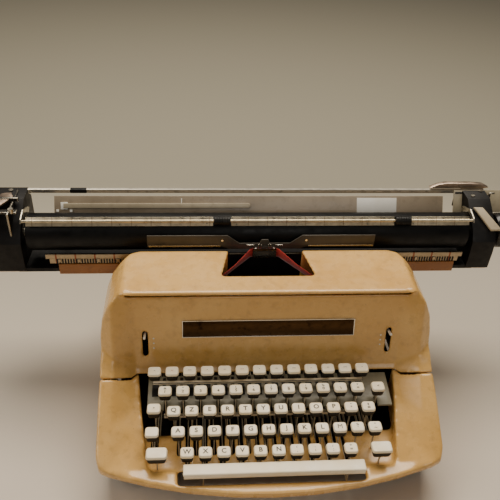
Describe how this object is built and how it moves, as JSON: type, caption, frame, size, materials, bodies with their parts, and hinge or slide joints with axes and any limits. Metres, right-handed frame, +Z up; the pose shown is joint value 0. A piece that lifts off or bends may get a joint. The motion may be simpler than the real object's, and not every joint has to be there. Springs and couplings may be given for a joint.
{
  "type": "manual typewriter",
  "caption": "Desk-standing manual office typewriter with enamelled casing, stepped keyboard, type opening and a long sliding carriage with platen, bail and return lever.",
  "frame": {"origin": "middle of the whole machine's box, on the table under the feet", "axes": "+Z up, +X to the typist's right along the platen, +Y away from the typist"},
  "size_m": [0.664, 0.334, 0.236],
  "materials": {
    "tan_enamel": "glossy baked enamel",
    "key_cream": "smooth moulded caps",
    "black_enamel": "semi-gloss black enamel",
    "olive_enamel": "satin olive-grey enamel",
    "olive_light": "satin light olive enamel",
    "steel": "plated and brushed",
    "platen_rubber": "ground hard rubber",
    "knob_plastic": "glossy black plastic with a steel shaft",
    "nameplate_bronze": "dark bronze field, thin bright edge",
    "ribbon_fabric": "inked woven ribbon"
  },
  "bodies": {
    "casing": {"lower_casing": "tan_enamel", "chassis": "black_enamel", "key_comb_plate": "olive_enamel", "carriage_rail": "steel", "card_holder": "black_enamel", "ink_ribbon": "ribbon_fabric"},
    "hood": {"top_hood": "tan_enamel", "nameplate": "nameplate_bronze"},
    "key_w": {"key_w": "key_cream"},
    "key_x": {"key_x": "key_cream"},
    "key_c": {"key_c": "key_cream"},
    "key_v": {"key_v": "key_cream"},
    "key_b": {"key_b": "key_cream"},
    "key_n": {"key_n": "key_cream"},
    "key_a": {"key_a": "key_cream"},
    "key_s": {"key_s": "key_cream"},
    "key_d": {"key_d": "key_cream"},
    "key_f": {"key_f": "key_cream"},
    "key_g": {"key_g": "key_cream"},
    "key_h": {"key_h": "key_cream"},
    "key_j": {"key_j": "key_cream"},
    "key_k": {"key_k": "key_cream"},
    "key_l": {"key_l": "key_cream"},
    "key_m": {"key_m": "key_cream"},
    "key_q": {"key_q": "key_cream"},
    "key_z": {"key_z": "key_cream"},
    "key_e": {"key_e": "key_cream"},
    "key_r": {"key_r": "key_cream"},
    "key_t": {"key_t": "key_cream"},
    "key_y": {"key_y": "key_cream"},
    "key_u": {"key_u": "key_cream"},
    "key_i": {"key_i": "key_cream"},
    "key_o": {"key_o": "key_cream"},
    "key_p": {"key_p": "key_cream"},
    "shift_key_left": {"shift_key_left": "key_cream"},
    "shift_key_right": {"shift_key_right": "key_cream"},
    "shift_lock_key": {"shift_lock_key": "key_cream"},
    "margin_key": {"margin_key": "key_cream"},
    "backspace_key": {"backspace_key": "key_cream"},
    "number_key_row": {"number_key_row": "key_cream"},
    "punctuation_keys": {"punctuation_keys": "key_cream"},
    "space_bar": {"space_bar": "key_cream"},
    "tabulator_key_row": {"tabulator_key_row": "key_cream"},
    "type_segment": {"type_segment": "black_enamel"},
    "ribbon_spool_left": {"ribbon_spool_left": "black_enamel"},
    "ribbon_spool_right": {"ribbon_spool_right": "black_enamel"},
    "colour_lever": {"colour_lever": "steel"},
    "touch_lever": {"touch_lever": "steel"},
    "carriage": {"carriage_frame": "black_enamel", "front_scale": "steel", "paper_table": "olive_enamel"},
    "platen": {"platen": "platen_rubber", "platen_knobs": "knob_plastic"},
    "paper_bail": {"paper_bail": "steel"},
    "bail_roller_left": {"bail_roller_left": "platen_rubber"},
    "bail_roller_right": {"bail_roller_right": "platen_rubber"},
    "paper_support_arm": {"paper_support_arm": "olive_light"},
    "return_lever": {"return_lever": "steel"},
    "paper_release_lever": {"paper_release_lever": "steel"},
    "carriage_release_lever": {"carriage_release_lever": "olive_light"}
  },
  "joints": [
    {"name": "hood_lift", "type": "slide", "parent": "casing", "child": "hood", "axis": [0, 0, 1], "range_m": [0, 0.12]},
    {"name": "key_w_press", "type": "hinge", "parent": "casing", "child": "key_w", "pos_m": [-0.0704, 0.076, 0.0335], "axis": [1, 0, 0], "range_deg": [0, 3.3], "stiffness_Nm_per_rad": 1, "springref_deg": -3.44},
    {"name": "key_x_press", "type": "hinge", "parent": "casing", "child": "key_x", "pos_m": [-0.05135, 0.076, 0.0335], "axis": [1, 0, 0], "range_deg": [0, 3.3], "stiffness_Nm_per_rad": 1, "springref_deg": -3.44},
    {"name": "key_c_press", "type": "hinge", "parent": "casing", "child": "key_c", "pos_m": [-0.0323, 0.076, 0.0335], "axis": [1, 0, 0], "range_deg": [0, 3.3], "stiffness_Nm_per_rad": 1, "springref_deg": -3.44},
    {"name": "key_v_press", "type": "hinge", "parent": "casing", "child": "key_v", "pos_m": [-0.01325, 0.076, 0.0335], "axis": [1, 0, 0], "range_deg": [0, 3.3], "stiffness_Nm_per_rad": 1, "springref_deg": -3.44},
    {"name": "key_b_press", "type": "hinge", "parent": "casing", "child": "key_b", "pos_m": [0.0058, 0.076, 0.0335], "axis": [1, 0, 0], "range_deg": [0, 3.3], "stiffness_Nm_per_rad": 1, "springref_deg": -3.44},
    {"name": "key_n_press", "type": "hinge", "parent": "casing", "child": "key_n", "pos_m": [0.02485, 0.076, 0.0335], "axis": [1, 0, 0], "range_deg": [0, 3.3], "stiffness_Nm_per_rad": 1, "springref_deg": -3.44},
    {"name": "key_a_press", "type": "hinge", "parent": "casing", "child": "key_a", "pos_m": [-0.0799, 0.076, 0.0335], "axis": [1, 0, 0], "range_deg": [0, 3.6], "stiffness_Nm_per_rad": 1, "springref_deg": -3.44},
    {"name": "key_s_press", "type": "hinge", "parent": "casing", "child": "key_s", "pos_m": [-0.06085, 0.076, 0.0335], "axis": [1, 0, 0], "range_deg": [0, 3.6], "stiffness_Nm_per_rad": 1, "springref_deg": -3.44},
    {"name": "key_d_press", "type": "hinge", "parent": "casing", "child": "key_d", "pos_m": [-0.0418, 0.076, 0.0335], "axis": [1, 0, 0], "range_deg": [0, 3.6], "stiffness_Nm_per_rad": 1, "springref_deg": -3.44},
    {"name": "key_f_press", "type": "hinge", "parent": "casing", "child": "key_f", "pos_m": [-0.02275, 0.076, 0.0335], "axis": [1, 0, 0], "range_deg": [0, 3.6], "stiffness_Nm_per_rad": 1, "springref_deg": -3.44},
    {"name": "key_g_press", "type": "hinge", "parent": "casing", "child": "key_g", "pos_m": [-0.0037, 0.076, 0.0335], "axis": [1, 0, 0], "range_deg": [0, 3.6], "stiffness_Nm_per_rad": 1, "springref_deg": -3.44},
    {"name": "key_h_press", "type": "hinge", "parent": "casing", "child": "key_h", "pos_m": [0.01535, 0.076, 0.0335], "axis": [1, 0, 0], "range_deg": [0, 3.6], "stiffness_Nm_per_rad": 1, "springref_deg": -3.44},
    {"name": "key_j_press", "type": "hinge", "parent": "casing", "child": "key_j", "pos_m": [0.0344, 0.076, 0.0335], "axis": [1, 0, 0], "range_deg": [0, 3.6], "stiffness_Nm_per_rad": 1, "springref_deg": -3.44},
    {"name": "key_k_press", "type": "hinge", "parent": "casing", "child": "key_k", "pos_m": [0.05345, 0.076, 0.0335], "axis": [1, 0, 0], "range_deg": [0, 3.6], "stiffness_Nm_per_rad": 1, "springref_deg": -3.44},
    {"name": "key_l_press", "type": "hinge", "parent": "casing", "child": "key_l", "pos_m": [0.0725, 0.076, 0.0335], "axis": [1, 0, 0], "range_deg": [0, 3.6], "stiffness_Nm_per_rad": 1, "springref_deg": -3.44},
    {"name": "key_m_press", "type": "hinge", "parent": "casing", "child": "key_m", "pos_m": [0.09155, 0.076, 0.0335], "axis": [1, 0, 0], "range_deg": [0, 3.6], "stiffness_Nm_per_rad": 1, "springref_deg": -3.44},
    {"name": "key_q_press", "type": "hinge", "parent": "casing", "child": "key_q", "pos_m": [-0.0847, 0.076, 0.0335], "axis": [1, 0, 0], "range_deg": [0, 4], "stiffness_Nm_per_rad": 1, "springref_deg": -3.44},
    {"name": "key_z_press", "type": "hinge", "parent": "casing", "child": "key_z", "pos_m": [-0.06565, 0.076, 0.0335], "axis": [1, 0, 0], "range_deg": [0, 4], "stiffness_Nm_per_rad": 1, "springref_deg": -3.44},
    {"name": "key_e_press", "type": "hinge", "parent": "casing", "child": "key_e", "pos_m": [-0.0466, 0.076, 0.0335], "axis": [1, 0, 0], "range_deg": [0, 4], "stiffness_Nm_per_rad": 1, "springref_deg": -3.44},
    {"name": "key_r_press", "type": "hinge", "parent": "casing", "child": "key_r", "pos_m": [-0.02755, 0.076, 0.0335], "axis": [1, 0, 0], "range_deg": [0, 4], "stiffness_Nm_per_rad": 1, "springref_deg": -3.44},
    {"name": "key_t_press", "type": "hinge", "parent": "casing", "child": "key_t", "pos_m": [-0.0085, 0.076, 0.0335], "axis": [1, 0, 0], "range_deg": [0, 4], "stiffness_Nm_per_rad": 1, "springref_deg": -3.44},
    {"name": "key_y_press", "type": "hinge", "parent": "casing", "child": "key_y", "pos_m": [0.01055, 0.076, 0.0335], "axis": [1, 0, 0], "range_deg": [0, 4], "stiffness_Nm_per_rad": 1, "springref_deg": -3.44},
    {"name": "key_u_press", "type": "hinge", "parent": "casing", "child": "key_u", "pos_m": [0.0296, 0.076, 0.0335], "axis": [1, 0, 0], "range_deg": [0, 4], "stiffness_Nm_per_rad": 1, "springref_deg": -3.44},
    {"name": "key_i_press", "type": "hinge", "parent": "casing", "child": "key_i", "pos_m": [0.04865, 0.076, 0.0335], "axis": [1, 0, 0], "range_deg": [0, 4], "stiffness_Nm_per_rad": 1, "springref_deg": -3.44},
    {"name": "key_o_press", "type": "hinge", "parent": "casing", "child": "key_o", "pos_m": [0.0677, 0.076, 0.0335], "axis": [1, 0, 0], "range_deg": [0, 4], "stiffness_Nm_per_rad": 1, "springref_deg": -3.44},
    {"name": "key_p_press", "type": "hinge", "parent": "casing", "child": "key_p", "pos_m": [0.08675, 0.076, 0.0335], "axis": [1, 0, 0], "range_deg": [0, 4], "stiffness_Nm_per_rad": 1, "springref_deg": -3.44},
    {"name": "shift_key_left_press", "type": "hinge", "parent": "casing", "child": "shift_key_left", "pos_m": [-0.1016, 0.076, 0.0335], "axis": [1, 0, 0], "range_deg": [0, 2.2], "stiffness_Nm_per_rad": 2, "springref_deg": -4.58},
    {"name": "shift_key_right_press", "type": "hinge", "parent": "casing", "child": "shift_key_right", "pos_m": [0.1339, 0.076, 0.0335], "axis": [1, 0, 0], "range_deg": [0, 2.2], "stiffness_Nm_per_rad": 2, "springref_deg": -4.58},
    {"name": "shift_lock_key_press", "type": "hinge", "parent": "casing", "child": "shift_lock_key", "pos_m": [-0.107, 0.076, 0.0335], "axis": [1, 0, 0], "range_deg": [0, 2.4], "stiffness_Nm_per_rad": 1, "springref_deg": -3.44},
    {"name": "margin_key_press", "type": "hinge", "parent": "casing", "child": "margin_key", "pos_m": [-0.1043, 0.076, 0.0335], "axis": [1, 0, 0], "range_deg": [0, 2], "stiffness_Nm_per_rad": 1, "springref_deg": -3.44},
    {"name": "backspace_key_press", "type": "hinge", "parent": "casing", "child": "backspace_key", "pos_m": [0.1381, 0.076, 0.0335], "axis": [1, 0, 0], "range_deg": [0, 3], "stiffness_Nm_per_rad": 1, "springref_deg": -3.44},
    {"name": "number_key_row_press", "type": "hinge", "parent": "casing", "child": "number_key_row", "pos_m": [0.02, 0.076, 0.0335], "axis": [1, 0, 0], "range_deg": [0, 3], "stiffness_Nm_per_rad": 3, "springref_deg": -3.44},
    {"name": "punctuation_keys_press", "type": "hinge", "parent": "casing", "child": "punctuation_keys", "pos_m": [0.02, 0.076, 0.0335], "axis": [1, 0, 0], "range_deg": [0, 2.4], "stiffness_Nm_per_rad": 3, "springref_deg": -3.44},
    {"name": "space_bar_press", "type": "hinge", "parent": "casing", "child": "space_bar", "pos_m": [0.02, 0.076, 0.0335], "axis": [1, 0, 0], "range_deg": [0, 1.4], "stiffness_Nm_per_rad": 3, "springref_deg": -3.44},
    {"name": "tabulator_key_row_press", "type": "slide", "parent": "casing", "child": "tabulator_key_row", "axis": [0, 0, -1], "range_m": [0, 0.004], "stiffness_N_per_m": 300, "springref_m": -0.006},
    {"name": "segment_shift", "type": "slide", "parent": "casing", "child": "type_segment", "axis": [0, 0, -1], "range_m": [0, 0.0066], "stiffness_N_per_m": 100, "springref_m": -0.036},
    {"name": "ribbon_spool_left_spin", "type": "hinge", "parent": "casing", "child": "ribbon_spool_left", "pos_m": [-0.085, 0.023, 0.16], "axis": [0, 0, 1], "continuous": true},
    {"name": "ribbon_spool_right_spin", "type": "hinge", "parent": "casing", "child": "ribbon_spool_right", "pos_m": [0.125, 0.023, 0.16], "axis": [0, 0, 1], "continuous": true},
    {"name": "colour_lever_turn", "type": "hinge", "parent": "hood", "child": "colour_lever", "pos_m": [-0.117, 0.0045, 0.124], "axis": [1, 0, 0], "range_deg": [0, 38]},
    {"name": "touch_lever_turn", "type": "hinge", "parent": "hood", "child": "touch_lever", "pos_m": [0.157, 0.0045, 0.124], "axis": [1, 0, 0], "range_deg": [0, 38]},
    {"name": "carriage_slide", "type": "slide", "parent": "casing", "child": "carriage", "axis": [-1, 0, 0], "range_m": [-0.225, 0.235]},
    {"name": "platen_turn", "type": "hinge", "parent": "carriage", "child": "platen", "pos_m": [0.02, 0.096, 0.194], "axis": [1, 0, 0], "continuous": true},
    {"name": "bail_lift", "type": "hinge", "parent": "carriage", "child": "paper_bail", "pos_m": [0.02, 0.117, 0.212], "axis": [-1, 0, 0], "range_deg": [0, 70]},
    {"name": "bail_roller_left_spin", "type": "hinge", "parent": "paper_bail", "child": "bail_roller_left", "pos_m": [-0.03, 0.0815, 0.2175], "axis": [1, 0, 0], "continuous": true},
    {"name": "bail_roller_right_spin", "type": "hinge", "parent": "paper_bail", "child": "bail_roller_right", "pos_m": [0.185, 0.0815, 0.2175], "axis": [1, 0, 0], "continuous": true},
    {"name": "support_arm_turn", "type": "hinge", "parent": "carriage", "child": "paper_support_arm", "pos_m": [-0.216, 0.1238, 0.2123], "axis": [0, -0.8568, 0.5157], "range_deg": [0, 90]},
    {"name": "return_lever_turn", "type": "hinge", "parent": "carriage", "child": "return_lever", "pos_m": [-0.28, 0.117, 0.2286], "axis": [0, 0, 1], "range_deg": [0, 26], "stiffness_Nm_per_rad": 0.5, "springref_deg": -17.19},
    {"name": "paper_release_turn", "type": "hinge", "parent": "carriage", "child": "paper_release_lever", "pos_m": [0.27, 0.1406, 0.2295], "axis": [1, 0, 0], "range_deg": [0, 20]},
    {"name": "carriage_release_turn", "type": "hinge", "parent": "carriage", "child": "carriage_release_lever", "pos_m": [0.283, 0.103, 0.2225], "axis": [-1, 0, 0], "range_deg": [0, 12], "stiffness_Nm_per_rad": 0.2, "springref_deg": -8.59}
  ],
  "couplings": [
    {"joint": "segment_shift", "follows": "shift_key_left_press", "m_per_rad": 0.168},
    {"joint": "shift_key_right_press", "follows": "shift_key_left_press", "ratio": 1},
    {"joint": "ribbon_spool_right_spin", "follows": "ribbon_spool_left_spin", "ratio": 1}
  ]
}
